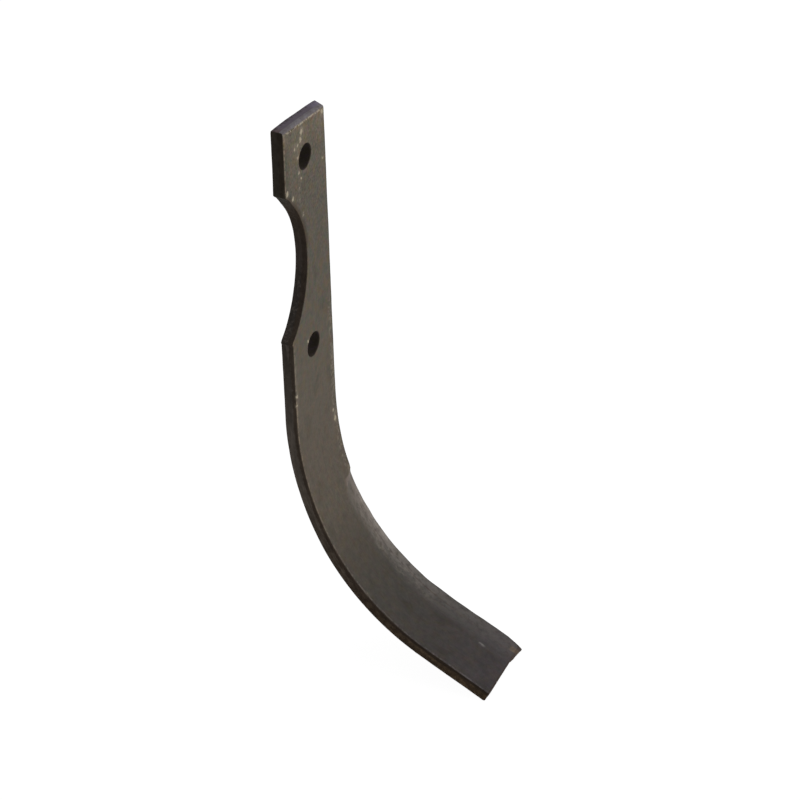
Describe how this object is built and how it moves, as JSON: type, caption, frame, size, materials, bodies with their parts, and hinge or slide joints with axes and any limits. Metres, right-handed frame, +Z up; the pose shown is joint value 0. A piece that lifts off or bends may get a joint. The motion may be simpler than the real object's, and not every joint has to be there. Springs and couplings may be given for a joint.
{
  "type": "rotary tiller blade",
  "caption": "Bent flat steel tiller blade with a bolted shank, a round hub notch and a forged bevelled cutting edge.",
  "frame": {"origin": "midway between the two bolt holes, on the mounting face", "axes": "+X across the bar towards the cutting edge, +Y out of the mounting face, +Z up the shank, away from the blade's tip"},
  "size_m": [0.0481, 0.1096, 0.3143],
  "materials": {
    "scaled_steel": "hot-worked and hardened spring steel with a satin dark brown-grey scale"
  },
  "bodies": {
    "root": {"tiller_blade": "scaled_steel"}
  },
  "joints": []
}
